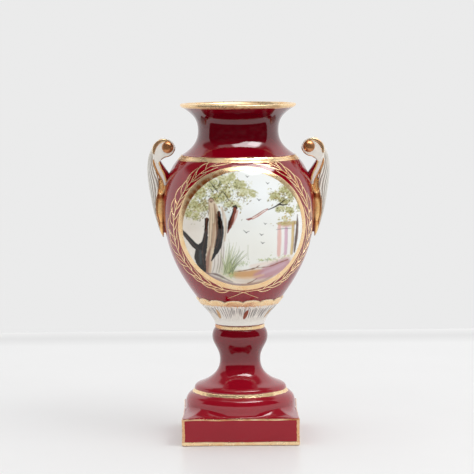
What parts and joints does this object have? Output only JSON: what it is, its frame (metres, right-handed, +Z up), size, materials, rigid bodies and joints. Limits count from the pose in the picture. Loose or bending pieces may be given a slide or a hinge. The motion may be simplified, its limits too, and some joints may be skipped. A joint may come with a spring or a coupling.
{
  "type": "porcelain vase",
  "caption": "Pedestal urn in burgundy porcelain with scroll handles, a painted medallion, gilding and a square plinth, bolted at the waist by a tie rod.",
  "frame": {"origin": "on the floor, on the axis of the urn and pedestal", "axes": "+Z up along the axis; -Y is the front with the painted medallion; the handles lie along -X and +X"},
  "size_m": [0.0858, 0.0721, 0.16],
  "materials": {
    "burgundy_glaze": "high gloss burgundy ground colour under clear glaze",
    "white_porcelain": "glossy white porcelain",
    "enamel_painting": "painted enamel on white porcelain, glossy",
    "gilding": "burnished gold, hand brushed",
    "rod_steel": "zinc plated steel",
    "gasket_rubber": "matte black rubber"
  },
  "bodies": {
    "root": {"urn_body": "burgundy_glaze", "calyx": "white_porcelain", "left_handle": "white_porcelain", "right_handle": "white_porcelain", "pedestal": "burgundy_glaze", "plinth": "burgundy_glaze", "tie_rod": "rod_steel", "upper_nut": "rod_steel", "upper_washer": "rod_steel", "upper_gasket": "gasket_rubber", "joint_gasket": "gasket_rubber", "lower_gasket": "gasket_rubber", "lower_washer": "rod_steel", "lower_nut": "rod_steel", "rim_gilding": "gilding", "shoulder_gilding": "gilding", "medallion": "enamel_painting", "medallion_ring": "gilding", "laurel_wreath": "gilding", "waist_gilding": "gilding", "foot_gilding": "gilding", "plinth_edge_gilding": "gilding", "plinth_foot_gilding": "gilding"}
  },
  "joints": []
}
